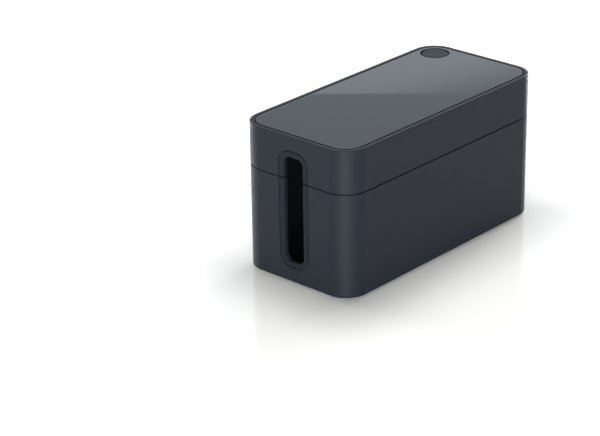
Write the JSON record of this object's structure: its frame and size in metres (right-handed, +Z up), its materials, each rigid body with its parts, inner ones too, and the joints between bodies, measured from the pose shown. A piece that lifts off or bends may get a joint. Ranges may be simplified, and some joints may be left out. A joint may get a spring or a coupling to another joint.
{
  "type": "cable management box",
  "caption": "Rounded rectangular cable management box with a lift-off lid, trimmed cable slots in both ends, an inlaid top mat and a round stopper over a cable port.",
  "frame": {"origin": "centre of the box's outline on the surface that its feet stand on", "axes": "+X along the length towards the end with the cable port, +Y across the width towards the side with the cable port, +Z up"},
  "size_m": [0.246, 0.116, 0.128],
  "materials": {
    "shell": "fine satin, blue-grey charcoal",
    "trim": "matte soft-touch, darker than the shell",
    "mat": "smooth with a soft sheen",
    "stopper": "matte",
    "foot": "matte",
    "adhesive": "thin double-sided adhesive sheet"
  },
  "bodies": {
    "base": {"base_shell": "shell", "left_trim_lower": "trim", "right_trim_lower": "trim", "foot_front_left": "foot", "foot_front_right": "foot", "foot_rear_left": "foot", "foot_rear_right": "foot", "foot_adhesives": "adhesive"},
    "lid": {"lid_shell": "shell", "left_trim_upper": "trim", "right_trim_upper": "trim", "mat_adhesive": "adhesive", "top_mat": "mat"},
    "stopper": {"port_stopper": "stopper"}
  },
  "joints": [
    {"name": "lid_lift", "type": "slide", "parent": "base", "child": "lid", "axis": [0, 0, 1], "range_m": [0, 0.12]},
    {"name": "stopper_pull", "type": "slide", "parent": "lid", "child": "stopper", "axis": [0, 0, 1], "range_m": [0, 0.03]}
  ]
}
